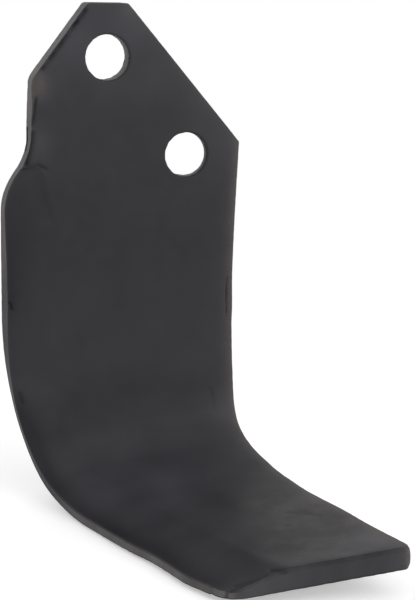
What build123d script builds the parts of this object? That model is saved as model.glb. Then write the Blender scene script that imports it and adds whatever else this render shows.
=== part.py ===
"""Rotary tiller blade, forged from one piece of flat bar.

The bar is forged thin along its leading side, cropped to a point at its mounting end and squarely at its
foot, punched with two bolt holes and bent at the foot into a wide flange.

The bar is modelled flat and then carried round the bend along straight rulings. Lengths are in
millimetres. +Z runs up the shank to the mounting end, +X towards the trailing side, and the foot is bent
towards -Y. The origin is midway between the bolt holes, on the outer face.
"""
from build123d import *
import math
import os

# Flat bar
bar_width = 81.4
bar_thickness = 8.0
bar_lead = 3.0  # how far the bar's centre line lies towards the leading side of the bolt holes
rolled_edge_width = 1.0  # that the rolled trailing side stands out beyond its flat faces
rolled_edge_depth = 2.4
arris_chamfer = 0.5

# Bolt holes
bolt_spacing = 47.5
bolt_line_fall = 46.5  # degrees below level, from the upper hole to the lower one
bolt_hole_diameter = 17.0

# Cropped mounting end
long_crop_margin = 18.5  # from the line of bolt holes out to the long sloping crop, parallel to it
top_crop_height = 37.6  # above the origin
top_crop_rise = 4.5  # degrees
shoulder_height = 8.8  # of the leading shoulder above the origin
shoulder_crop_rise = 55.0  # degrees
crop_corner_radius = 1.5

# Leading side, from the shank down to the foot
swell_drop = 13.0  # from the origin down to the place where the side begins to swell
swell_radius = 20.0
swell_turn = 36.0  # degrees outwards
crest_radius = 24.0
edge_lean = 2.5  # degrees that the straight stretch leans back from the shank's direction
edge_straight = 38.0
elbow_radius = 150.0
elbow_turn = 16.0  # degrees
leading_sweep_radius = 1300.0

# Trailing side
trailing_straight_drop = 40.0  # from the origin down to the end of the straight stretch
trailing_sweep_radius = 620.0

# Foot
foot_crop_drop = 244.5  # from the origin down to the crop, before bending
foot_crop_rise = 1.8  # degrees
leading_corner_radius = 11.0
trailing_corner_radius = 3.0

# Forged bevel on the inner face, gauged along the rulings at its start, crest, shank, bend and tip
bevel_drops = (12.7, 29.0, 68.0, 150.0, foot_crop_drop)  # from the origin down to the gauged rulings
bevel_widths = (8.0, 21.0, 16.5, 16.0, 20.0)
bevel_depths = (1.2, 2.2, 2.6, 4.4, 5.4)
bevel_steps = 4  # sections from each gauged ruling to the next

# Bend, on the middle of the thickness, in three stages from the shank to the foot
bend_drop = 103.4  # from the origin down to the bend's start at the trailing side
ruling_rise = 7.5  # degrees that the bend's rulings rise towards the trailing side
bend_radii = (58.0, 21.5, 72.0)
bend_turns = (10.0, 58.5, 20.4)  # degrees

# Working allowances
raw_top = 60.0  # of the raw bar above the origin
cutter_overrun = 6.0
section_turn = 7.0  # degrees of bend from one carried section to the next, at most

# Places and directions that follow
half_thickness = bar_thickness / 2
leading_sweep_turn = math.degrees(foot_crop_drop / leading_sweep_radius)
trailing_sweep_turn = math.degrees(foot_crop_drop / trailing_sweep_radius)
trailing_x = bar_width / 2 - bar_lead
leading_x = trailing_x - bar_width
long_crop_height = long_crop_margin / math.cos(math.radians(bolt_line_fall))
shoulder_crop_height = shoulder_height - leading_x * math.tan(math.radians(shoulder_crop_rise))
rise = math.radians(ruling_rise)
ruling = Vector(math.cos(rise), 0, math.sin(rise))
down_blade = Vector(math.sin(rise), 0, -math.cos(rise))
bend_origin = Vector(trailing_x, -half_thickness, -bend_drop)
bend_side = Plane(origin=bend_origin, x_dir=down_blade, z_dir=-ruling)
bend_length = sum(radius * math.radians(turn) for radius, turn in zip(bend_radii, bend_turns))


def crop_plane(height, angle):
    """Upright plane along a line that crosses x = 0 at the height, keeping what is below it."""
    slope = math.radians(angle)
    along = (math.cos(slope), math.sin(slope), 0)
    inwards = (math.sin(slope), -math.cos(slope), 0)
    return Plane(origin=(0, height, 0), x_dir=along, z_dir=inwards)


def flat_plane(station):
    """Plane across the flat bar, a given distance below the bend's start and along a ruling."""
    return Plane(origin=bend_origin + down_blade * station, x_dir=ruling, z_dir=down_blade)


with BuildSketch(Plane.XZ) as blank:
    with BuildLine():
        top = Line((trailing_x, raw_top), (leading_x, raw_top))
        side = Line(top @ 1, (leading_x, -swell_drop))
        swell = JernArc(side @ 1, side % 1, swell_radius, -swell_turn)
        crest = JernArc(swell @ 1, swell % 1, crest_radius, swell_turn + edge_lean)
        edge = Line(crest @ 1, crest @ 1 + (crest % 1) * edge_straight)
        elbow = JernArc(edge @ 1, edge % 1, elbow_radius, elbow_turn)
        leading_sweep = JernArc(elbow @ 1, elbow % 1, leading_sweep_radius, leading_sweep_turn)
        back = Line(top @ 0, (trailing_x, -trailing_straight_drop))
        trailing_sweep = JernArc(back @ 1, back % 1, trailing_sweep_radius, trailing_sweep_turn)
        Line(leading_sweep @ 1, trailing_sweep @ 1)
    make_face()

with BuildPart() as bar:
    extrude(blank.sketch, amount=bar_thickness)
    for flat_face in bar.faces().filter_by(Plane.XZ):
        trailing_rims = flat_face.edges().sort_by(lambda rim: rim.bounding_box().min.X)[-2:]
        chamfer(trailing_rims, rolled_edge_width, rolled_edge_depth, reference=flat_face)

# Bevel forged on the inner face
gauges = list(zip(bevel_drops, bevel_widths, bevel_depths))
sections = []
for start, end in zip(gauges, gauges[1:]):
    for index in range(bevel_steps):
        share = index / bevel_steps
        sections.append([a + (b - a) * share for a, b in zip(start, end)])
sections.append(gauges[-1])
wedges = []
for drop, width, depth in sections:
    gauge = flat_plane(drop - bend_drop)
    across = section(bar.part, section_by=gauge, mode=Mode.PRIVATE)
    lead = gauge.to_local_coords(across).bounding_box().min.X
    slope = depth / width
    low = half_thickness - depth - slope * cutter_overrun
    high = half_thickness + slope * cutter_overrun
    with BuildSketch(gauge) as wedge:
        with BuildLine():
            corners = ((lead - cutter_overrun, low), (lead + width + cutter_overrun, high))
            Polyline(*corners, (lead - cutter_overrun, high), close=True)
        make_face()
    wedges.append(wedge.sketch)
with BuildPart() as bevel:
    loft(wedges)

# Crops, as an outline that the forged bar is cut down to
with BuildSketch(Plane.XZ) as cropped:
    add(blank.sketch_local)
    split(bisect_by=crop_plane(long_crop_height, -bolt_line_fall))
    split(bisect_by=crop_plane(top_crop_height, top_crop_rise))
    split(bisect_by=crop_plane(shoulder_crop_height, shoulder_crop_rise))
    split(bisect_by=crop_plane(-foot_crop_drop, foot_crop_rise), keep=Keep.BOTTOM)
    head_corners = cropped.vertices().filter_by_position(Axis.Y, -swell_drop, raw_top, (False, True))
    fillet(head_corners, crop_corner_radius)
    fillet(cropped.vertices().sort_by(Axis.Y)[0], leading_corner_radius)
    fillet(cropped.vertices().sort_by(Axis.X)[-1], trailing_corner_radius)
    with PolarLocations(bolt_spacing / 2, 2, start_angle=-bolt_line_fall):
        Circle(bolt_hole_diameter / 2, mode=Mode.SUBTRACT)

with BuildPart() as forged:
    extrude(cropped.sketch, amount=bar_thickness)
    flat_faces = forged.faces().filter_by(Plane.XZ)
    chamfer([rim for face in flat_faces for rim in face.outer_wire().edges()], arris_chamfer)
    add(bar.part, mode=Mode.INTERSECT)
    add(bevel.part, mode=Mode.SUBTRACT)

# Middle line of the bend, seen along its rulings
with BuildLine() as middle:
    stages = [Line((-bar_width, 0), (0, 0))]
    for radius, turn in zip(bend_radii, bend_turns):
        stages.append(JernArc(stages[-1] @ 1, stages[-1] % 1, radius, turn))
middle_wire = middle.wire().moved(bend_side.location)


def carried(shape, station):
    """The shape, moved from the flat bar to its place on the bent one with the ruling it is on."""
    distance = station + bar_width
    origin = middle_wire.position_at(distance, PositionMode.LENGTH)
    heading = middle_wire.tangent_at(distance, PositionMode.LENGTH)
    bent_plane = Plane(origin=origin, x_dir=ruling, z_dir=heading)
    return shape.moved(bent_plane.location * flat_plane(station).location.inverse())


def carried_section(station):
    """The flat bar's section at a station, carried round the bend."""
    return carried(section(forged.part, section_by=flat_plane(station)).face(), station)


with BuildPart() as foot:
    add(forged.part)
    split(bisect_by=flat_plane(bend_length))

# Shank, the bend's stages and the foot
with BuildPart() as blade:
    add(forged.part)
    split(bisect_by=flat_plane(0), keep=Keep.BOTTOM)
    start = 0
    for radius, turn in zip(bend_radii, bend_turns):
        steps = math.ceil(turn / section_turn)
        step = radius * math.radians(turn) / steps
        loft([carried_section(start + step * index) for index in range(steps + 1)])
        start += step * steps
    add(carried(foot.part, bend_length))

blade.part.label = "blade"
os.makedirs("parts", exist_ok=True)
export_step(blade.part, "parts/blade.step")
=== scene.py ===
"""Rotary tiller blade: the forged and painted surface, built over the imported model.

Lengths in the geometry code are millimetres on the flat bar, as it is before bending: x runs towards the
trailing side and z up towards the mounting end. They become metres when a point is carried round the bend.
"""
import math

import bmesh
import bpy
import numpy as np
from mathutils import Matrix, Vector, noise
from mathutils.geometry import delaunay_2d_cdt


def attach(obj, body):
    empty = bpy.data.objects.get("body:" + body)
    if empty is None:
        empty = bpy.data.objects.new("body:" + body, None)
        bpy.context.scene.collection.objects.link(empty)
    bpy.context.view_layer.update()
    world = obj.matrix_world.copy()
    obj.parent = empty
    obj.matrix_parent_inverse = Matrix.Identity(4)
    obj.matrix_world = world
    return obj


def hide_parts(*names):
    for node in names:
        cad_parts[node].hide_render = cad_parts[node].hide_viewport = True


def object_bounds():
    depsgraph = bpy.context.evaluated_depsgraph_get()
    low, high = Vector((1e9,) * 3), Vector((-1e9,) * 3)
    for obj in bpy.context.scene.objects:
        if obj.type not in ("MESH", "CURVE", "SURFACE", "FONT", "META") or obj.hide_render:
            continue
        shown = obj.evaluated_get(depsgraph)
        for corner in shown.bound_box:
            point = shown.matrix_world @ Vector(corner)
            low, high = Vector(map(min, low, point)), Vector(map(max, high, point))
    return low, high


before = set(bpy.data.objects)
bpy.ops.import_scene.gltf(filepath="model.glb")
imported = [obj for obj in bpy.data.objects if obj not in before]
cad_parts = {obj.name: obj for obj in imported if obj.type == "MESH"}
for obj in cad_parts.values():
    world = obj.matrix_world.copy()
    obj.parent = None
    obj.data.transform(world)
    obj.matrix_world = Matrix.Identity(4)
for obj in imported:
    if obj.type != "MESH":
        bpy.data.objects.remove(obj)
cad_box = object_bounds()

MM = 0.001

# Bar
THICK = 8.0
HALF = THICK / 2
TRAIL_X = 37.7
LEAD_X = -43.7
ROLLED = 0.7  # that the rolled trailing side stands out beyond its flat faces

# Bolt holes, and how far each one's outer rim is broken out towards the trailing side
HOLE_R = 8.25
HOLES = ((-16.35, 17.2), (16.0, -17.35))
BREAK_OUTS = (0.6, 2.0)
BREAK_REACH = 6.0

# Crops; the heights of the top and the end are at x = 0, and the rises are above level
LONG_CROP_MARGIN = 18.5  # out from the origin, square to the crop
LONG_CROP_RISE = -math.radians(46.5)
TOP_HEIGHT = 37.15
TOP_RISE = math.radians(2.1)
SHOULDER_HEIGHT = 8.8
SHOULDER_RISE = math.radians(55.0)
INTO_SHOULDER = np.array((0.819, -0.574))  # unit vector square to the shoulder crop
END_HEIGHT = -244.42
END_RISE = math.radians(1.8)
CROP_CLEARANCE = 0.3  # between a crop's line and the last point of a long side
CORNER_RADII = {
    "tip": 11.0,
    "heel": 2.3,
    "right_shoulder": 1.5,
    "top_right": 1.5,
    "top_left": 2.0,
    "left_shoulder": 7.0,
}

# Long sides from the mounting end down: radius, turn towards +x, and length where there is no radius
LEAD_MOVES = (
    (0, 0, 21.8),
    (20.0, -math.radians(36.0), 0),
    (24.0, math.radians(38.5), 0),
    (0, 0, 38.0),
    (150.0, math.radians(16.0), 0),
    (1300.0, math.radians(7.0), 0),
)
TRAIL_TOP = -12.0
TRAIL_MOVES = (
    (0, 0, 28.0),
    (620.0 + ROLLED, math.radians(22.0), 0),
)

# Unevenness of the long sides: height, half length, and how far the side stands out
TRAIL_BUMPS = (
    (-74.0, 7.0, 0.28),
    (-104.0, 7.0, 0.2),
    (-124.0, 7.0, -0.3),
    (-151.0, 9.0, 0.75),
    (-182.0, 10.0, -0.5),
    (-206.0, 10.0, 0.5),
    (-52.0, 14.0, 0.15),
    (-92.0, 10.0, 0.1),
    (-134.0, 9.0, 0.2),
    (-244.0, 5.0, -0.45),
)
LEAD_BUMPS = (
    (-15.0, 6.0, -0.25),
    (-27.0, 5.0, -0.3),
    (-39.0, 8.0, -0.05),
    (-121.0, 9.0, 0.2),
    (-172.0, 10.0, -0.2),
    (-206.0, 7.0, -0.6),
    (-226.0, 7.0, 1.0),
)

# Bend: start below the origin at the trailing side, rise of its rulings, and each stage's radius and turn
BEND_DROP = 103.4
BEND_RISE = math.radians(7.5)
BEND_ARCS = ((58.0, 10.0), (21.5, 58.5), (72.0, 20.4))

# Bevel gauges: drop below the origin along the rulings, width, and depth at the leading side
GAUGE_DROPS = (12.7, 29.0, 68.0, 150.0, 244.5)
GAUGE_WIDTHS = (8.0, 21.0, 16.5, 16.0, 20.0)
GAUGE_DEPTHS = (1.2, 2.2, 2.6, 4.4, 5.4)
BEVEL_OVERRUN = 0.12  # of the bevel's width, over which it runs out softly into the flat face
BEVEL_WAVER = 0.1  # of its width, by which it wanders
BEVEL_START_FLAT = 4.0  # in from the leading side, over which its start follows a ruling
BEVEL_START_CURVE = 0.1  # times the square of the distance beyond that, by which it starts lower
BEVEL_START_LENGTH = 0.8

# Profiles up the flat bar, as pairs of a height and the value there
LEANS = (  # how far in from the outer rim the inner one lies on the leading side
    (-245.0, 1.2), (-225.0, 0.9), (-200.0, 0.5), (-160.0, 0.2), (-110.0, 0.0), (-100.0, 0.3), (-88.0, 0.8),
    (-74.0, 1.1), (-55.0, 0.7), (-42.0, 0.2), (-34.0, 0.05), (-27.0, -0.35), (-21.0, -0.4), (-12.0, 0.0),
)
LEAN_REACH = 6.0  # from the leading side, over which the face is moved with its rim
PAINTED_LIGHT_BY_HEIGHT = (  # painted light by height: lighter towards the top, and at the bend's lower end, where it lifts the shade
    (-245.0, 0.30), (-225.0, 0.37), (-205.0, 0.30), (-180.0, 0.50), (-158.0, 0.66), (-140.0, 0.45),
    (-124.0, 0.22), (-106.0, 0.42), (-84.0, 0.31), (-50.0, 0.16), (-20.0, 0.20), (0.0, 0.27), (20.0, 0.55),
    (32.0, 0.63),
)
EDGE_PAINTED_SHADE = (  # how much painted shade darkens the band along the leading side, by height
    (-240.0, 0.30), (-215.0, 0.40), (-190.0, 0.50), (-135.0, 0.55), (-118.0, 0.35), (-104.0, 0.10),
    (-80.0, 0.10), (-70.0, 0.25), (-55.0, 0.10), (-25.0, 0.0),
)
EDGE_PAINTED_SHADE_REACH = 5.5
# Painted light on the end's wall, and how far in it reaches
END_PAINTED_LIGHT = 0.3
END_PAINTED_LIGHT_REACH = 0.5
RUBBED_AND_SHEEN = (  # how much paint is rubbed off the leading side's wall, which also sets the painted sheen on it
    (-245.0, 0.90), (-200.0, 1.00), (-180.0, 0.90), (-160.0, 0.75), (-150.0, 0.20), (-105.0, 0.05),
    (-90.0, 0.15), (-60.0, 0.65), (-26.0, 0.80), (-19.0, 0.40), (-13.0, 0.35), (-6.0, 0.20), (-1.0, 0.60),
    (6.0, 0.90),
)

# Soft oval patches of painted light and shade, then of wear: change at the middle, then x, z, half width
# and half height
PAINTED_LIGHT_AND_SHADE_PATCHES = {
    "bend_edge": (0.2, 37.0, -119.0, 6.0, 9.0),
    "foot_middle": (-0.5, 30.0, -184.0, 14.0, 16.0),
    "foot_right": (-0.72, 44.0, -210.0, 14.0, 20.0),
    "shank_edge": (-0.1, -47.0, -50.0, 6.0, 18.0),
    "end_band": (-0.65, 52.0, -243.5, 16.0, 3.0),
    "bend_dark": (-1.0, 45.0, -163.0, 12.0, 16.0),
    "beside_bore": (0.25, 26.0, -8.0, 12.0, 17.0),
    "neck_light": (0.35, -41.0, -15.0, 5.0, 7.0),
    "heel_light": (0.80, 62.0, -231.0, 7.0, 6.0),
    "heel_light_low": (0.5, 50.0, -241.0, 5.0, 2.5),
    "foot_shade": (-0.60, 28.0, -222.0, 10.0, 9.0),
}
WORN_PATCHES = {
    "shoulder": (1.4, -43.8, 6.8, 4.8, 5.2),
    "neck": (0.9, -44.0, -1.0, 1.1, 7.0),
    "crop": (0.5, -9.0, 34.5, 3.0, 3.0),
    "tip": (0.5, 4.0, -243.0, 9.0, 5.0),
}
WORN_SHOULDER_RADIUS = (2.3, -43.5, 6.0, 4.5, 5.0)

# Wear of the rims and how far in it reaches, painted light that lifts the shade on the foot, and how much
# of the end's wall is painted
TRAIL_WEAR = 1.05
TRAIL_WEAR_REACH = 2.2
LONG_CROP_WEAR = 0.45
LONG_CROP_WEAR_REACH = 1.5
LEAD_WEAR = 0.5
LEAD_WEAR_REACH = 0.4
FOOT_PAINTED_LIGHT = 0.32
FOOT_PAINTED_LIGHT_FROM_X, FOOT_PAINTED_LIGHT_RISE_X = 18.0, 16.0
FOOT_PAINTED_LIGHT_FROM_DROP, FOOT_PAINTED_LIGHT_RISE_DROP = 160.0, 40.0
FOOT_PAINTED_LIGHT_TO_END = 4.0
PAINTED_END = 0.85

# Radii of the rounded arrises, by side on the inner face
INNER_RADII = {"lead": 0.35, "end": 0.9, "trail": 0.35, "long_crop": 0.4, "top": 0.9, "shoulder": 0.35}
OUTER_RADIUS = 0.45
OUTER_TOP_RELIEF = 0.25  # that the top crop's outer arris is sharper
INNER_BORE_RADIUS = 0.85
OUTER_BORE_RADIUS = 0.3

# Unevenness of the surface
COARSE_DRIFT = 0.035
FINE_DRIFT = 0.02
OUTER_DRIFT = 0.04
CROWN = 0.25  # fall of the inner face at the rolled trailing side
CROWN_WIDTH = 5.0
CROWN_FROM, CROWN_RISE = -150.0, 30.0  # height from which the shank has the crown, and over which it grows
BEND_CROWN = 0.4  # that is added to it in the bend
BEND_CROWN_WIDTH = 2.5
UPSET_HEIGHT, UPSET_HALF = -120.0, 18.0  # middle and half length of the stretch that the bend upsets
CHIPPING = 0.35  # of the arrises' radii
WALL_ROUGHNESS = 0.06

# Split in the leading side's wall below the shoulder and notch at the tip; shares run from the inner face
SPLIT_DEPTH = 0.5
SPLIT_BEFORE_X = -40.0
SPLIT_HEIGHTS = (-17.5, -9.0)
SPLIT_SHARES = (0.7, 0.95)
SPLIT_STRENGTH = 0.9
NOTCH_X = 7.3
NOTCH_HALF_WIDTH = 0.45
NOTCH_BELOW = -236.0
NOTCH_STRENGTH = 0.4

# Sampling of the mesh
STEP = 0.55
GRID = 1.1
RIM_ROWS = (0.0, 0.2, 0.45, 0.8, 1.25, 1.9, 2.8)
DENSE_RIM = 1.0  # width of the rim in which every row has all of its points
CREASE_ROWS = (-0.75, -0.4, 0.0, 0.4, 0.75)
CREASE_STEP = 0.45
CREASE_TO_RIM = 0.3
CREASE_TO_GRID = 0.35
CREASE_REACH = 4.0  # from a crease's points, beyond which it presses nothing in
RIM_TO_GRID = 0.6
HOLE_POINTS = 96
WALL_ROWS = 9
SIDE_REACH = 1.6  # over which a wall goes over from one side to the next
UV_PER_MM = 0.01

# Creases and dents in the inner face, darkened with painted shade: half width, depth, raggedness and points
MARKS = (
    ("shoulder_tear", 0.5, 0.7, 0.15, ((-42.4, 2.8), (-42.9, -3.5), (-43.4, -8.4))),
    ("neck_tear", 0.6, 1.0, 0.12, ((-43.1, -9.4), (-43.2, -14.0), (-43.9, -18.5), (-45.0, -22.6))),
    ("swell_step", 0.55, 0.35, 0.2,
     ((-45.6, -22.6), (-43.0, -22.1), (-40.6, -22.0), (-38.6, -22.8), (-37.0, -24.0))),
    ("swell_lip", 0.9, -0.16, 0.1, ((-41.6, -23.6), (-39.6, -24.4), (-38.2, -25.4))),
    ("edge_nick", 0.5, 0.6, 0.1, ((-50.9, -72.4), (-49.2, -73.1), (-48.2, -76.0))),
    ("edge_smudge", 1.3, 0.2, 0.3, ((-49.0, -69.5), (-48.3, -73.5), (-47.9, -77.0))),
    ("edge_speck", 0.8, 0.4, 0.2, ((-44.2, -106.3), (-43.2, -108.6), (-42.2, -112.0))),
    ("trailing_sliver", 0.35, 0.4, 0.1, ((35.4, -63.5), (35.3, -68.0), (35.5, -73.0), (36.1, -79.0))),
    ("bend_comma", 0.7, 0.12, 0.2, ((30.7, -107.5), (32.2, -112.0), (32.8, -117.5))),
    ("heel_crease", 1.1, 0.08, 0.25, ((39.5, -199.3), (46.0, -204.0), (52.5, -209.0))),
    ("heel_scratch", 0.5, 0.1, 0.1, ((36.0, -210.6), (38.4, -211.6))),
    ("end_notch", 0.8, 0.5, 0.4, ((22.0, -240.2), (25.0, -242.6), (28.0, -244.4))),
    ("tip_tear", 0.5, 0.5, 0.35, ((7.5, -242.4), (14.0, -242.9), (21.0, -242.8))),
    ("tip_smudge", 0.9, 0.4, 0.35, ((9.5, -241.0), (13.0, -241.8), (16.5, -241.9))),
)

# Torn front arris of the shoulder crop: distance in from the crop, and its ends as shares of the crop
TEAR_INSET = 0.75
TEAR_ENDS = (0.05, 0.94)
TEAR_STEP = 1.0

# Paint: its own colour, the colour of painted light, the colour where it is rubbed and where painted light
# lifts the foot's shade, bare steel on a cut wall made lighter as painted sheen, and painted shade in a
# tear
THICK_PAINT = ((0.0120, 0.0116, 0.0145), (0.0150, 0.0145, 0.0175))
PAINTED_LIGHT_COLOUR = (0.060, 0.058, 0.066)
WEAR_AND_PAINTED_FOOT_LIGHT_COLOUR = (0.080, 0.071, 0.070)
BARE_STEEL_AND_SHEEN_COLOUR = (0.130, 0.119, 0.120)
TEAR_SHADE = (0.004, 0.004, 0.004)
ROUGHNESS = (0.50, 0.58)
TEAR_ROUGHNESS = 0.4
CUT_ROUGHNESS = 0.06
SPECULAR_LEVEL = 0.24
PEEL_STRENGTH = 0.35
PEEL_HEIGHT = 0.00008

# Studio; a strength of 1 is white
WORLD_LIGHT = 0.8
WHITE = 1.0
FLOOR_COLOUR = (0.8, 0.8, 0.8, 1)
FLOOR_LIFT = 0.4
FLOOR_HALF = 3.0
FLOOR_MIDDLE = (0.03, -0.06)
FLOOR_CLEARANCE = 0.0005
WHITE_FROM = 0.12  # distance from the floor's middle at which it begins to go over into white
WHITE_BEYOND = 0.45
LAMP_PLACE = (0.8, -1.0, 0.5)
LAMP_AIM = (0, 0, -0.03)
LAMP_SIZE = (1.6, 1.4)
LAMP_POWER = 6


def turtle(x, z, moves):
    """Points along straight runs and arcs, starting straight down; turns are towards +x."""
    heading = 0.0
    points = [(x, z)]
    for radius, turn, length in moves:
        if radius:
            length = radius * abs(turn)
        count = max(1, int(round(length / STEP)))
        for _ in range(count):
            half = turn / count / 2
            heading += half
            x += math.sin(heading) * length / count
            z -= math.cos(heading) * length / count
            heading += half
            points.append((x, z))
    return points


def run(a, b, step=STEP):
    """Evenly spaced points on a straight line, without its last one."""
    a, b = np.array(a), np.array(b)
    count = max(1, int(round(np.linalg.norm(b - a) / step)))
    return [tuple(a + (b - a) * k / count) for k in range(count)]


def crossing(p, angle_p, q, angle_q):
    """Where two lines meet, each given by a point and its angle above level."""
    d = np.array([[math.cos(angle_p), -math.cos(angle_q)], [math.sin(angle_p), -math.sin(angle_q)]])
    t = np.linalg.solve(d, np.array(q) - np.array(p))
    return (p[0] + math.cos(angle_p) * t[0], p[1] + math.sin(angle_p) * t[0])


def rounded(points, corner, radius):
    """A closed outline with the corner nearest to a place replaced by an arc."""
    pts = np.array(points)
    at = int(np.argmin(np.hypot(*(pts - corner).T)))
    pts = np.roll(pts, -at, axis=0)
    before, after = pts[-3] - pts[0], pts[3] - pts[0]
    before, after = before / np.linalg.norm(before), after / np.linalg.norm(after)
    half = math.acos(float(np.clip(before @ after, -1, 1))) / 2
    back = radius / math.tan(half)
    chord = np.hypot(*(pts - pts[0]).T)
    first = next(k for k in range(1, len(pts)) if chord[k] > back)
    last = next(k for k in range(1, len(pts)) if chord[-k] > back)
    a, b = pts[0] + after * back, pts[0] + before * back
    weight = math.sin(half)
    count = max(4, int(radius * (math.pi - 2 * half) / (STEP * 0.8)))
    arc = []
    for k in range(count + 1):
        t = k / count
        w0, w1, w2 = (1 - t) ** 2, 2 * t * (1 - t) * weight, t ** 2
        arc.append((w0 * b + w1 * pts[0] + w2 * a) / (w0 + w1 + w2))
    return [tuple(p) for p in arc] + [tuple(p) for p in pts[first:len(pts) - last + 1]]


def nearest(points, line, closed=False):
    """Distance from each point to a polyline, with the length along the line to the nearest place."""
    line = np.asarray(line, float)
    a = line if closed else line[:-1]
    b = np.roll(line, -1, axis=0) if closed else line[1:]
    seg = b - a
    length = np.hypot(seg[:, 0], seg[:, 1])
    start = np.concatenate(([0.0], np.cumsum(length)[:-1]))
    best = np.full(len(points), 1e9)
    where = np.zeros(len(points))
    for k in range(len(a)):
        rel = points - a[k]
        t = np.clip((rel @ seg[k]) / max(length[k] ** 2, 1e-12), 0, 1)
        gap = np.hypot(rel[:, 0] - t * seg[k, 0], rel[:, 1] - t * seg[k, 1])
        closer = gap < best
        best[closer] = gap[closer]
        where[closer] = start[k] + t[closer] * length[k]
    return best, where


def smooth(t):
    """An even step from 0 to 1 with soft ends."""
    t = np.clip(t, 0.0, 1.0)
    return t * t * (3 - 2 * t)


def ramp(value, start, length):
    """A soft rise from 0 at a start to 1 at a length beyond it."""
    return smooth((value - start) / length)


def fade(gap, reach):
    """1 at no distance, falling off softly with it."""
    return np.exp(-(gap / reach) ** 2)


def patch(x, z, strength, at_x, at_z, half_x, half_z):
    """A soft oval patch."""
    return strength * np.exp(-(((x - at_x) / half_x) ** 2 + ((z - at_z) / half_z) ** 2))


def profile(z, pairs):
    """The value at a height, from pairs of a height and a value."""
    heights, values = zip(*pairs)
    return np.interp(z, heights, values)


def wander(x, z, size, seed):
    """Smooth wandering between about -1 and 1, with features of about a given size."""
    x, z = np.broadcast_arrays(x, z)
    return np.array([noise.noise(Vector((a / size, b / size, seed))) for a, b in zip(x, z)]) * 1.6


def uneven(side, bumps, outwards):
    """A long side with its bumps and hollows."""
    x, z = np.array(side).T
    for height, half, out in bumps:
        x = x + outwards * out * fade(z - height, half)
    return [tuple(p) for p in np.stack((x, z), axis=1)]


def end_line(x):
    """Height of the foot's straight crop."""
    return END_HEIGHT + math.tan(END_RISE) * x


def outline():
    """The flat faces' outline, anticlockwise from the tip, and its six sides by name."""
    face_x = TRAIL_X - ROLLED
    square = (-math.sin(LONG_CROP_RISE), math.cos(LONG_CROP_RISE))
    on_long_crop = (LONG_CROP_MARGIN * square[0], LONG_CROP_MARGIN * square[1])
    on_top = (0, TOP_HEIGHT)
    top_right = crossing(on_long_crop, LONG_CROP_RISE, on_top, TOP_RISE)
    top_left = crossing(on_top, TOP_RISE, (LEAD_X, SHOULDER_HEIGHT), SHOULDER_RISE)
    right_shoulder = crossing(on_long_crop, LONG_CROP_RISE, (face_x, 0), math.radians(90))
    lead = uneven(turtle(LEAD_X, SHOULDER_HEIGHT, LEAD_MOVES), LEAD_BUMPS, -1)
    trail = uneven(turtle(face_x, TRAIL_TOP, TRAIL_MOVES), TRAIL_BUMPS, 1)
    lead = [p for p in lead if p[1] > end_line(p[0]) + CROP_CLEARANCE]
    trail = [p for p in trail if p[1] > end_line(p[0]) + CROP_CLEARANCE]
    trail = [p for p in trail if p[1] < right_shoulder[1] - CROP_CLEARANCE]
    tip_x, heel_x = lead[-1][0] + 0.1, trail[-1][0] + 0.1
    tip, heel = (tip_x, end_line(tip_x)), (heel_x, end_line(heel_x))
    sides = {
        "lead": lead,
        "end": run(tip, heel) + [heel],
        "trail": trail[::-1],
        "long_crop": run(right_shoulder, top_right),
        "top": run(top_right, top_left),
        "shoulder": run(top_left, lead[0]),
    }
    closed = [p for side in sides.values() for p in side]
    corners = {
        "tip": tip,
        "heel": heel,
        "right_shoulder": right_shoulder,
        "top_right": top_right,
        "top_left": top_left,
        "left_shoulder": lead[0],
    }
    for name, corner in corners.items():
        closed = rounded(closed, np.array(corner), CORNER_RADII[name])
    return np.array(closed), {name: np.array(side) for name, side in sides.items()}


def along_and_across(x, z):
    """Distance down the blade from the bend's start, and distance along the ruling there."""
    rx, rz = x - TRAIL_X, z + BEND_DROP
    down = rx * math.sin(BEND_RISE) - rz * math.cos(BEND_RISE)
    over = rx * math.cos(BEND_RISE) + rz * math.sin(BEND_RISE)
    return down, over


def bend(x, z, off):
    """Flat place and height off the middle of the thickness, carried round the bend, in metres."""
    ax, az = math.cos(BEND_RISE), math.sin(BEND_RISE)
    down, over = along_and_across(x, z)
    along, out, turned = np.minimum(down, 0.0), np.zeros_like(down), np.zeros_like(down)
    left = np.maximum(down, 0.0)
    for radius, degrees in BEND_ARCS:
        part = np.minimum(left, radius * math.radians(degrees))
        angle = part / radius
        along = along + radius * (np.sin(turned + angle) - np.sin(turned))
        out = out + radius * (np.cos(turned) - np.cos(turned + angle))
        turned = turned + angle
        left = left - part
    along = along + left * np.cos(turned) - off * np.sin(turned)
    out = out + left * np.sin(turned) + off * np.cos(turned)
    place = (TRAIL_X + over * ax + along * az, -out - HALF, -BEND_DROP + over * az - along * ax)
    return np.stack(place, axis=1) * MM


def tear_line():
    """The front arris of the shoulder crop where it tore, a little in from its rim."""
    a, b = SIDES["shoulder"][0], SIDES["shoulder"][-1]
    inset = INTO_SHOULDER * TEAR_INSET
    start, end = (a + (b - a) * share + inset for share in TEAR_ENDS)
    return run(start, end, TEAR_STEP)


OUTLINE, SIDES = outline()
LEAD_DOWN, LEAD_OVER = along_and_across(*SIDES["lead"].T)
CREASES = MARKS + (("crop_tear", 0.75, 1.1, 0.25, tuple(tear_line())),)


def side_gap(points, name):
    """Distance from each point to a side of the outline."""
    return nearest(points, SIDES[name])[0]


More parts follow.
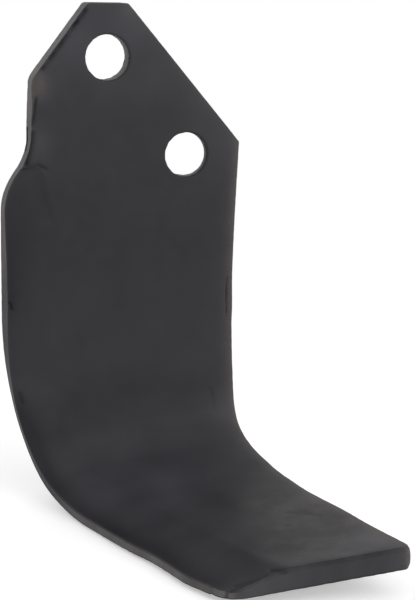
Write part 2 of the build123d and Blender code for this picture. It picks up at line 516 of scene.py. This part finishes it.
def bevel_fall(x, z):
    """Fall of the forged bevel below the bar's inner face, gauged along the rulings as in the solid."""
    down, over = along_and_across(x, z)
    in_from_side = over - np.interp(down, LEAD_DOWN, LEAD_OVER)
    drop = down + BEND_DROP
    waver = 1 + BEVEL_WAVER * wander(x, z, size=22.0, seed=3.0)
    width = np.interp(drop, GAUGE_DROPS, GAUGE_WIDTHS) * waver
    depth = np.interp(drop, GAUGE_DROPS, GAUGE_DEPTHS)
    share = np.clip(1 - in_from_side / width, -BEVEL_OVERRUN, 1.0)
    run_out = (share + BEVEL_OVERRUN) ** 2 / (4 * BEVEL_OVERRUN)
    slope = np.where(share < BEVEL_OVERRUN, run_out, share)
    beyond = np.clip(in_from_side - BEVEL_START_FLAT, 0, None)
    start = GAUGE_DROPS[0] + BEVEL_START_CURVE * beyond ** 2
    return depth * slope * ramp(drop, start, BEVEL_START_LENGTH)


def crease_shape(x, z, number, width, ragged, line):
    """How strongly a crease is pressed in, with ragged sides and tapered ends."""
    jitter = ragged * 0.6
    x = x + jitter * wander(x, z, size=1.6, seed=10.0 + number)
    z = z + jitter * wander(x, z, size=1.6, seed=30.0 + number)
    gap, at = nearest(np.stack((x, z), axis=1), line)
    total = sum(math.dist(a, b) for a, b in zip(line, line[1:]))
    taper = smooth(np.minimum(at, total - at) / 1.5 + 0.2)
    along = wander(at, 0 * at, size=4.5, seed=50.0 + number)
    varied = np.clip(1 - ragged + ragged * 1.6 * along, 0.1, 1.3)
    return fade(gap, width) * (taper * varied)


def crease_fall(x, z):
    """Fall of the creases, tears and dents in the inner face, and a mask of the painted shade in them."""
    fall, mask = np.zeros_like(x), np.zeros_like(x)
    for number, (_, width, depth, ragged, line) in enumerate(CREASES):
        low, high = np.min(line, axis=0) - CREASE_REACH, np.max(line, axis=0) + CREASE_REACH
        near = (x > low[0]) & (x < high[0]) & (z > low[1]) & (z < high[1])
        shape = crease_shape(x[near], z[near], number, width, ragged, line)
        fall[near] += depth * shape
        mask[near] = np.maximum(mask[near], 0.7 * shape * min(1.0, depth * 2))
    return fall, mask


def side_weights(points):
    """For each point, how much each side of the outline counts there."""
    weights = {name: 1 / (side_gap(points, name) ** 2 + 0.3) for name in SIDES}
    total = sum(weights.values())
    return {name: weight / total for name, weight in weights.items()}


def inside(points):
    """Which points lie within the outline."""
    found = np.zeros(len(points), bool)
    for a, b in zip(OUTLINE, np.roll(OUTLINE, -1, axis=0)):
        across = (a[1] > points[:, 1]) != (b[1] > points[:, 1])
        if across.any():
            at = a[0] + (points[:, 1] - a[1]) / (b[1] - a[1] + 1e-12) * (b[0] - a[0])
            found ^= across & (points[:, 0] < at)
    return found


def outwards_from(ring):
    """Unit vectors square to an anticlockwise ring, away from what it encloses."""
    tangent = np.roll(ring, -1, axis=0) - np.roll(ring, 1, axis=0)
    tangent /= np.hypot(tangent[:, 0], tangent[:, 1])[:, None]
    return np.stack((tangent[:, 1], -tangent[:, 0]), axis=1)


def outline_rows():
    """The outline's ring, and rows of points that follow it inside the rim."""
    rows = [OUTLINE]
    outward = outwards_from(OUTLINE)
    for row in RIM_ROWS[1:]:
        inner = OUTLINE - outward * row
        if row > DENSE_RIM:
            inner = inner[::2]
        gap, _ = nearest(inner, OUTLINE, closed=True)
        rows.append(inner[gap > row - 0.04])
    return rows


def bore_rows(middle_x, middle_z):
    """A bore's ring, and rings round it that are each turned by half a step from the one before."""
    rows = []
    for number, row in enumerate(RIM_ROWS):
        turn = (np.arange(HOLE_POINTS) + (number % 2) / 2) / HOLE_POINTS * 2 * math.pi
        radius = HOLE_R + row
        rows.append(np.stack((middle_x + radius * np.cos(turn), middle_z + radius * np.sin(turn)), axis=1))
    return rows


def crease_points():
    """Rows of close points along every crease."""
    rows = []
    for *_, line in CREASES:
        line = np.array(line)
        dense = np.array([p for a, b in zip(line, line[1:]) for p in run(a, b, CREASE_STEP)])
        step = np.gradient(dense, axis=0)
        square = np.stack((-step[:, 1], step[:, 0]), axis=1) / np.hypot(step[:, 0], step[:, 1])[:, None]
        rows += [dense + square * row for row in CREASE_ROWS]
    points = np.concatenate(rows)
    return points[inside(points) & (nearest(points, OUTLINE, closed=True)[0] > CREASE_TO_RIM)]


def grid_points():
    """A grid of even triangles over what the rims, the bores and the creases leave free."""
    low, high = OUTLINE.min(axis=0), OUTLINE.max(axis=0)
    xs = np.arange(low[0], high[0], GRID)
    zs = np.arange(low[1], high[1], GRID * math.sqrt(0.75))
    gx, gz = np.meshgrid(xs, zs)
    gx = gx + (np.arange(len(zs)) % 2)[:, None] * GRID / 2
    grid = np.stack((gx.ravel(), gz.ravel()), axis=1)
    grid = grid[inside(grid)]
    rim = RIM_ROWS[-1] + RIM_TO_GRID
    grid = grid[nearest(grid, OUTLINE, closed=True)[0] > rim]
    for hx, hz in HOLES:
        grid = grid[np.hypot(grid[:, 0] - hx, grid[:, 1] - hz) > HOLE_R + rim]
    for *_, line in CREASES:
        grid = grid[nearest(grid, line)[0] > CREASE_ROWS[-1] + CREASE_TO_GRID]
    return grid


def sheet():
    """Triangles over the flat bar: points, faces, and the loops of point numbers round its rims."""
    points = outline_rows()
    loops = [range(len(OUTLINE))]
    for hole in HOLES:
        first = sum(len(row) for row in points)
        points += bore_rows(*hole)
        loops.append(range(first, first + HOLE_POINTS))
    edges = [(loop[k], loop[(k + 1) % len(loop)]) for loop in loops for k in range(len(loop))]
    points += [crease_points(), grid_points()]
    cloud = [Vector(p) for p in np.concatenate(points)]
    made, _, triangles, sources, *_ = delaunay_2d_cdt(cloud, edges, [], 1, 1e-6)
    flat = np.array([tuple(v) for v in made])
    number_of = {source: number for number, merged in enumerate(sources) for source in merged}
    faces = []
    for triangle in triangles:
        x, z = flat[list(triangle)].mean(axis=0)
        if all(math.hypot(x - hx, z - hz) > HOLE_R * 0.99 for hx, hz in HOLES):
            faces.append(tuple(triangle))
    return flat, faces, [[number_of[k] for k in loop] for loop in loops]


def arris_fall(rim, radius):
    """The extra fall of a rounded arris at a distance from the rim."""
    short = np.clip(radius - rim, 0, radius)
    return radius - np.sqrt(np.maximum(radius ** 2 - short ** 2, 0))


def arris_radii(flat):
    """Radii of the inner and the outer face's arrises, uneven along them and large where the shoulder is
    rubbed down.
    """
    x, z = flat.T
    weights = side_weights(flat)
    chipped = 1 + CHIPPING * wander(x, z, size=2.2, seed=7.0)
    inner = sum(weights[name] * radius for name, radius in INNER_RADII.items())
    inner = inner * chipped + patch(x, z, *WORN_SHOULDER_RADIUS)
    return inner, (OUTER_RADIUS - OUTER_TOP_RELIEF * weights["top"]) * chipped


def forged_drift(x, z):
    """How far the inner face wanders below its flat place."""
    coarse = COARSE_DRIFT * (1 + wander(x, z, size=16.0, seed=1.0))
    fine = FINE_DRIFT * (1 + wander(x, z, size=6.0, seed=2.0))
    return coarse + fine


def trailing_crown(flat):
    """Fall of the inner face towards the rolled trailing side, most of all in the bend."""
    z = flat[:, 1]
    upset = fade(z - UPSET_HEIGHT, UPSET_HALF)
    shank = ramp(z, CROWN_FROM, CROWN_RISE)
    width = CROWN_WIDTH + BEND_CROWN_WIDTH * upset
    near = np.clip(1 - side_gap(flat, "trail") / width, 0, 1)
    return (CROWN * shank + BEND_CROWN * upset) * near ** 2


def face_heights(flat):
    """Heights of the inner and the outer face off the middle of the thickness, and the mask of painted
    shade in the tears and creases.
    """
    x, z = flat.T
    rim, _ = nearest(flat, OUTLINE, closed=True)
    bore = np.min([np.abs(np.hypot(x - hx, z - hz) - HOLE_R) for hx, hz in HOLES], axis=0)
    inner_radius, outer_radius = arris_radii(flat)
    creases, painted_crease_shade = crease_fall(x, z)
    inner = bevel_fall(x, z) + creases + forged_drift(x, z) + trailing_crown(flat)
    inner = inner + arris_fall(rim, inner_radius) + arris_fall(bore, INNER_BORE_RADIUS)
    outer = OUTER_DRIFT + 0.03 * np.clip(wander(x, z, size=18.0, seed=4.0), -1, 1)
    outer = outer + arris_fall(rim, outer_radius) + arris_fall(bore, OUTER_BORE_RADIUS)
    return HALF - inner, -HALF + outer, painted_crease_shade


def leaned(flat):
    """How far towards the trailing side the inner face's leading rim lies in from the outer one."""
    near = np.clip(1 - side_gap(flat, "lead") / LEAN_REACH, 0, 1)
    return profile(flat[:, 1], LEANS) * near ** 2


def broken_out(flat):
    """Places on the outer face, pushed towards the trailing side where a punch broke out of a bore."""
    moved = flat.copy()
    for middle, out in zip(HOLES, BREAK_OUTS):
        dx, dz = (flat - middle).T
        gap = np.maximum(np.hypot(dx, dz), 1e-6)
        push = out * np.maximum(dx / gap, 0) * np.clip(1 - (gap - HOLE_R) / BREAK_REACH, 0, 1) ** 2
        moved[:, 0] += push * dx / gap
        moved[:, 1] += push * dz / gap
    return moved


def split_in_edge(ring, share):
    """A split along the outer part of the leading edge, below the shoulder, and a notch at the tip."""
    x, z = ring.T
    low, high = SPLIT_HEIGHTS
    first, last = SPLIT_SHARES
    split = (x < SPLIT_BEFORE_X) & (z > low) & (z < high) & (first < share < last)
    notch = (abs(x - NOTCH_X) < NOTCH_HALF_WIDTH) & (z < NOTCH_BELOW)
    return np.where(split, SPLIT_STRENGTH, np.where(notch, NOTCH_STRENGTH, 0.0))


class Skin:
    """Points, faces and masks of the blade's surface, gathered part by part."""

    def __init__(self):
        self.places = []
        self.flats = []
        self.painted_crease_shade = []
        self.cut = []
        self.polygons = []
        self.count = 0

    def add(self, at, off, flat, painted_crease_shade, cut):
        """Add points at heights off the middle of the flat bar, and give their numbers."""
        self.places.append(bend(*at.T, off))
        self.flats.append(flat)
        self.painted_crease_shade.append(painted_crease_shade)
        self.cut.append(cut)
        self.count += len(at)
        return list(range(self.count - len(at), self.count))

    def join(self, upper, lower):
        """Add the faces between two closed loops of as many points."""
        size = len(upper)
        for k in range(size):
            after = (k + 1) % size
            self.polygons.append((upper[k], lower[k], lower[after], upper[after]))

    def mesh(self):
        """The gathered surface as a mesh."""
        made = bpy.data.meshes.new("blade_surface")
        made.from_pydata([tuple(p) for p in np.concatenate(self.places)], [], self.polygons)
        made.validate()
        made.update()
        return made


def wall_of(ring, name):
    """How far each point of a ring belongs to a side's wall."""
    return smooth((SIDE_REACH - side_gap(ring, name)) / SIDE_REACH)


def bare_and_sheen_share(ring):
    """How bare a rim's wall is, which also sets its painted sheen: fully on a crop or in a bore, hardly on
    the end, not on the rolled side.
    """
    trailing, leading, ending = (wall_of(ring, name) for name in ("trail", "lead", "end"))
    cut = leading * profile(ring[:, 1], RUBBED_AND_SHEEN) + (1 - leading) * (1 - trailing)
    return cut * (1 - PAINTED_END * ending)


def add_wall(skin, loop, flat, top, bottom):
    """The wall of a rim, from the inner face's loop of points to the outer face's."""
    ring = flat[loop]
    outward = outwards_from(ring)
    along = np.cumsum(np.hypot(*(ring - np.roll(ring, 1, axis=0)).T))
    trailing = wall_of(ring, "trail")
    cut = bare_and_sheen_share(ring)
    lean = leaned(ring)
    broken = broken_out(ring) - ring
    previous = loop
    for row in range(1, WALL_ROWS):
        share = row / WALL_ROWS
        off = top[loop] * (1 - share) + bottom[loop] * share
        split = split_in_edge(ring, share)
        swell = np.sqrt(np.clip(1 - (2 * share - 1) ** 2, 0, 1))
        rough = WALL_ROUGHNESS * (1 - trailing)
        rough = rough * (1 + np.clip(wander(along, off, size=1.1, seed=5.0), -1, 1))
        shift = swell * ROLLED * trailing - SPLIT_DEPTH * split - rough
        at = ring + outward * shift[:, None]
        at[:, 0] += lean * (1 - share)
        at += broken * ramp(share, 0.3, 0.7)
        # the split and the notch also carry painted shade, by their strength
        current = skin.add(at, off, at, split, cut)
        skin.join(previous, current)
        previous = current
    skin.join(previous, [len(flat) + k for k in loop])


def blade_skin():
    """The blade's two faces and the walls of its rims."""
    flat, faces, loops = sheet()
    top, bottom, painted_crease_shade = face_heights(flat)
    plain = np.zeros(len(flat))
    skin = Skin()
    skin.add(flat + np.stack((leaned(flat), plain), axis=1), top, flat, painted_crease_shade, plain)
    skin.add(broken_out(flat), bottom, flat, plain, plain)
    skin.polygons += faces
    skin.polygons += [tuple(len(flat) + k for k in reversed(face)) for face in faces]
    for loop in loops:
        add_wall(skin, loop, flat, top, bottom)
    return skin


def turn_faces_outwards(mesh):
    """Make every face point out of the blade, and shade it smoothly."""
    shaded = bmesh.new()
    shaded.from_mesh(mesh)
    bmesh.ops.recalc_face_normals(shaded, faces=shaded.faces)
    shaded.to_mesh(mesh)
    shaded.free()
    mesh.polygons.foreach_set("use_smooth", [True] * len(mesh.polygons))


def painted_light_and_shade_mask(flat):
    """How much light is painted on, from 0 to 1: by height, more or less in patches, less along the leading
    side and more at the end.
    """
    x, z = flat.T
    painted_light_and_shade = profile(z, PAINTED_LIGHT_BY_HEIGHT)
    for values in PAINTED_LIGHT_AND_SHADE_PATCHES.values():
        painted_light_and_shade = painted_light_and_shade + patch(x, z, *values)
    painted_light_and_shade = painted_light_and_shade - profile(z, EDGE_PAINTED_SHADE) * fade(side_gap(flat, "lead"), EDGE_PAINTED_SHADE_REACH)
    painted_light_and_shade = painted_light_and_shade + END_PAINTED_LIGHT * fade(side_gap(flat, "end"), END_PAINTED_LIGHT_REACH)
    painted_light_and_shade = painted_light_and_shade * (1 + 0.2 * wander(x, z, size=14.0, seed=11.0))
    return np.clip(painted_light_and_shade + 0.03 * wander(x, z, size=5.0, seed=12.0), 0, 1)


def wear_and_painted_foot_light_mask(flat):
    """Where the paint is rubbed, and where painted light lifts the shade on the foot: rubbed patches, the
    rims of three sides, and the foot.
    """
    x, z = flat.T
    shoulder, neck, crop, tip = (patch(x, z, *values) for values in WORN_PATCHES.values())
    patchy = 1 + 0.5 * wander(x, z, size=9.0, seed=8.0)
    mottled = patchy + 0.35 * wander(x, z, size=4.0, seed=15.0)
    # painted light on the foot towards its trailing side, short of the end, that lifts the shade there
    painted_foot_lift = FOOT_PAINTED_LIGHT * mottled * ramp(x, FOOT_PAINTED_LIGHT_FROM_X, FOOT_PAINTED_LIGHT_RISE_X) * ramp(-z, FOOT_PAINTED_LIGHT_FROM_DROP, FOOT_PAINTED_LIGHT_RISE_DROP)
    painted_foot_lift = painted_foot_lift * smooth(side_gap(flat, "end") / FOOT_PAINTED_LIGHT_TO_END)
    rubbed = (TRAIL_WEAR + 0.3 * patchy) * np.exp(-side_gap(flat, "trail") / TRAIL_WEAR_REACH)
    crop_rim = np.exp(-side_gap(flat, "long_crop") / LONG_CROP_WEAR_REACH)
    rubbed = rubbed + LONG_CROP_WEAR * patchy * crop_rim
    edge = LEAD_WEAR * fade(side_gap(flat, "lead"), LEAD_WEAR_REACH) * profile(z, RUBBED_AND_SHEEN)
    return np.clip(shoulder + neck + crop + tip + painted_foot_lift + rubbed + edge, 0, 1)


def painted_blade():
    """The blade as one object, with its masks as point attributes."""
    skin = blade_skin()
    mesh = skin.mesh()
    turn_faces_outwards(mesh)
    flat = np.concatenate(skin.flats)
    uv = mesh.uv_layers.new(name="flat")
    corner_points = np.zeros(len(mesh.loops), int)
    mesh.loops.foreach_get("vertex_index", corner_points)
    uv.data.foreach_set("uv", (flat[corner_points] * UV_PER_MM).ravel())
    # painted shade in the creases, bare steel with painted sheen, wear with painted light on the foot, and
    # painted light and shade over the faces
    masks = {
        "painted_crease_shade": np.concatenate(skin.painted_crease_shade),
        "bare_steel_and_sheen": np.concatenate(skin.cut),
        "wear_and_painted_foot_light": wear_and_painted_foot_light_mask(flat),
        "painted_light_and_shade": painted_light_and_shade_mask(flat),
    }
    for name, values in masks.items():
        mesh.attributes.new(name, "FLOAT", "POINT").data.foreach_set("value", values)
    mesh.materials.append(satin_black_paint())
    made = bpy.data.objects.new("painted_blade", mesh)
    bpy.context.scene.collection.objects.link(made)
    return made


class Shading:
    """Makes, sets and links the nodes of a material or a world."""

    def __init__(self, owner):
        owner.use_nodes = True
        self.nodes = owner.node_tree.nodes
        self.links = owner.node_tree.links

    def feed(self, socket, value):
        """Set a socket to a number or a colour, or link it to another node's output."""
        if isinstance(value, bpy.types.NodeSocket):
            self.links.new(value, socket)
        elif isinstance(value, tuple):
            socket.default_value = (*value, 1)
        else:
            socket.default_value = value

    def position(self):
        """The place on the object."""
        return self.nodes.new("ShaderNodeTexCoord").outputs["Object"]

    def noise(self, place, scale, detail):
        """Noise between 0 and 1."""
        node = self.nodes.new("ShaderNodeTexNoise")
        node.inputs["Scale"].default_value = scale
        node.inputs["Detail"].default_value = detail
        self.links.new(place, node.inputs["Vector"])
        return node.outputs["Fac"]

    def attribute(self, name):
        """One of the mesh's masks."""
        node = self.nodes.new("ShaderNodeAttribute")
        node.attribute_name = name
        return node.outputs["Fac"]

    def calculate(self, operation, a, b):
        """A sum, product or other result of two values."""
        node = self.nodes.new("ShaderNodeMath")
        node.operation = operation
        self.feed(node.inputs[0], a)
        self.feed(node.inputs[1], b)
        return node.outputs["Value"]

    def between(self, factor, low, high):
        """A colour between two others."""
        node = self.nodes.new("ShaderNodeMix")
        node.data_type = "RGBA"
        self.links.new(factor, node.inputs["Factor"])
        self.feed(node.inputs[6], low)
        self.feed(node.inputs[7], high)
        return node.outputs[2]

    def spread(self, value, low, high, to_low, to_high):
        """A value carried from one range to another."""
        node = self.nodes.new("ShaderNodeMapRange")
        self.links.new(value, node.inputs["Value"])
        node.inputs["From Min"].default_value = low
        node.inputs["From Max"].default_value = high
        node.inputs["To Min"].default_value = to_low
        node.inputs["To Max"].default_value = to_high
        return node.outputs["Result"]

    def seen(self):
        """1 for the camera, glossy and transmission rays, which see the background itself, else 0."""
        path = self.nodes.new("ShaderNodeLightPath")
        total = path.outputs["Is Camera Ray"]
        for name in ("Is Glossy Ray", "Is Transmission Ray"):
            total = self.calculate("MAXIMUM", total, path.outputs[name])
        return total

    def shine(self, kind, strength):
        """A plain white glow of a strength."""
        node = self.nodes.new(kind)
        node.inputs["Color"].default_value = (1, 1, 1, 1)
        node.inputs["Strength"].default_value = strength
        return node.outputs[0]

    def mixed(self, factor, first, second):
        """A mix of two shaders, of which the second counts by the factor."""
        node = self.nodes.new("ShaderNodeMixShader")
        self.links.new(factor, node.inputs["Fac"])
        self.links.new(first, node.inputs[1])
        self.links.new(second, node.inputs[2])
        return node.outputs["Shader"]


def satin_black_paint():
    """Satin black paint with a faint orange peel, browner where rubbed or bare, with painted light, shade
    and sheen.
    """
    made = bpy.data.materials.new("satin_black_paint")
    shading = Shading(made)
    shader = shading.nodes["Principled BSDF"]
    place = shading.position()
    cloud = shading.noise(place, scale=38.0, detail=4.0)
    speckle = shading.noise(place, scale=900.0, detail=3.0)
    grain = shading.noise(place, scale=3200.0, detail=2.0)
    colour = shading.between(shading.spread(cloud, 0.3, 0.7, 0, 1), *THICK_PAINT)
    # painted light and shade: lighter by height and in patches, darker in patches and along the leading
    # side
    colour = shading.between(shading.attribute("painted_light_and_shade"), colour, PAINTED_LIGHT_COLOUR)
    patchy = shading.spread(speckle, 0.35, 0.65, 0.7, 1.0)
    # rubbed paint, and painted light that lifts the shade on the foot
    rubbed = shading.calculate("MULTIPLY", shading.attribute("wear_and_painted_foot_light"), patchy)
    colour = shading.between(rubbed, colour, WEAR_AND_PAINTED_FOOT_LIGHT_COLOUR)
    # bare steel on the walls of the crops, bores and leading side, made lighter as painted sheen
    stained = shading.spread(shading.noise(place, scale=140.0, detail=3.0), 0.3, 0.7, 0.55, 1.0)
    cut = shading.calculate("MULTIPLY", shading.attribute("bare_steel_and_sheen"), stained)
    colour = shading.between(cut, colour, BARE_STEEL_AND_SHEEN_COLOUR)
    # painted shade in the creases, tears, the split and the notch
    colour = shading.between(shading.attribute("painted_crease_shade"), colour, TEAR_SHADE)
    shading.feed(shader.inputs["Base Color"], colour)
    rough = shading.spread(cloud, 0.3, 0.7, *ROUGHNESS)
    for mask, more in (("painted_crease_shade", TEAR_ROUGHNESS), ("bare_steel_and_sheen", CUT_ROUGHNESS)):
        rougher = shading.calculate("MULTIPLY", shading.attribute(mask), more)
        rough = shading.calculate("ADD", rough, rougher)
    shading.feed(shader.inputs["Roughness"], rough)
    shader.inputs["Specular IOR Level"].default_value = SPECULAR_LEVEL
    peel = shading.nodes.new("ShaderNodeBump")
    peel.inputs["Strength"].default_value = PEEL_STRENGTH
    peel.inputs["Distance"].default_value = PEEL_HEIGHT
    fine = shading.calculate("MULTIPLY", grain, 0.35)
    shading.feed(peel.inputs["Height"], shading.calculate("ADD", speckle, fine))
    shading.feed(shader.inputs["Normal"], peel.outputs["Normal"])
    return made


def photo_camera():
    """The photograph's viewpoint, fitted to the bolt holes, the mounting end and the foot."""
    azimuth, elevation, roll = math.radians(22.43), math.radians(11.51), math.radians(3.393)
    distance, pixels_per_mm, picture_width = 606.247, 2.58635, 415
    sensor_width = 36.0
    target = Vector((31.085, 0.0, -74.466)) * MM
    level_ahead = math.cos(elevation)
    ahead = Vector((math.sin(azimuth) * level_ahead, math.cos(azimuth) * level_ahead, -math.sin(elevation)))
    level = Vector((math.cos(azimuth), -math.sin(azimuth), 0))
    upward = level.cross(ahead)
    right = level * math.cos(roll) + upward * math.sin(roll)
    up = upward * math.cos(roll) - level * math.sin(roll)
    made = bpy.data.objects.new("camera", bpy.data.cameras.new("camera"))
    turned = Matrix((right, up, -ahead)).transposed().to_4x4()
    made.matrix_world = Matrix.Translation(target - ahead * distance * MM) @ turned
    made.data.sensor_fit = "HORIZONTAL"
    made.data.sensor_width = sensor_width
    made.data.lens = sensor_width * pixels_per_mm * distance / picture_width
    made.data.clip_start = 0.01
    bpy.context.scene.collection.objects.link(made)
    bpy.context.scene.camera = made


def white_floor():
    """A pale floor that keeps the blade's shadow and goes over into the white background further out."""
    made = bpy.data.materials.new("floor_white")
    shading = Shading(made)
    lit = shading.nodes["Principled BSDF"]
    lit.inputs["Base Color"].default_value = FLOOR_COLOUR
    lit.inputs["Roughness"].default_value = 0.9
    lifted = shading.nodes.new("ShaderNodeAddShader")
    shading.links.new(lit.outputs["BSDF"], lifted.inputs[0])
    shading.links.new(shading.shine("ShaderNodeEmission", FLOOR_LIFT), lifted.inputs[1])
    white = shading.shine("ShaderNodeEmission", WHITE)
    gap = shading.nodes.new("ShaderNodeVectorMath")
    gap.operation = "LENGTH"
    shading.links.new(shading.position(), gap.inputs[0])
    away = shading.nodes.new("ShaderNodeMapRange")
    away.interpolation_type = "SMOOTHSTEP"
    away.inputs["From Min"].default_value = WHITE_FROM
    away.inputs["From Max"].default_value = WHITE_BEYOND
    shading.links.new(gap.outputs["Value"], away.inputs["Value"])
    background = shading.mixed(away.outputs["Result"], lifted.outputs["Shader"], white)
    surface = shading.mixed(shading.seen(), lit.outputs["BSDF"], background)
    shading.links.new(surface, shading.nodes["Material Output"].inputs["Surface"])
    return made


def floor_under_the_foot():
    """A wide floor just below the blade."""
    mesh = bpy.data.meshes.new("floor")
    corners = [(-1, -1, 0), (1, -1, 0), (1, 1, 0), (-1, 1, 0)]
    mesh.from_pydata([[FLOOR_HALF * side for side in corner] for corner in corners], [], [(0, 1, 2, 3)])
    mesh.materials.append(white_floor())
    made = bpy.data.objects.new("floor", mesh)
    made.location = (*FLOOR_MIDDLE, cad_box[0][2] - FLOOR_CLEARANCE)
    bpy.context.scene.collection.objects.link(made)
    return made


def white_world():
    """An even studio: white where it is seen, and plain ambient light for what it lights."""
    world = bpy.data.worlds.new("studio")
    bpy.context.scene.world = world
    shading = Shading(world)
    shading.nodes.clear()
    light = shading.shine("ShaderNodeBackground", WORLD_LIGHT)
    white = shading.shine("ShaderNodeBackground", WHITE)
    surface = shading.mixed(shading.seen(), light, white)
    shading.links.new(surface, shading.nodes.new("ShaderNodeOutputWorld").inputs["Surface"])


def soft_lamp():
    """One large weak lamp from the right, in front and above."""
    data = bpy.data.lights.new("key", "AREA")
    data.shape = "RECTANGLE"
    data.size, data.size_y = LAMP_SIZE
    data.energy = LAMP_POWER
    made = bpy.data.objects.new("key", data)
    made.location = LAMP_PLACE
    made.rotation_euler = (Vector(LAMP_AIM) - Vector(LAMP_PLACE)).to_track_quat("-Z", "Y").to_euler()
    bpy.context.scene.collection.objects.link(made)


blade = painted_blade()
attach(blade, "root")
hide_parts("blade")

photo_camera()
floor_under_the_foot()
white_world()
soft_lamp()

bpy.context.scene.view_settings.view_transform = "Standard"

bpy.context.view_layer.update()
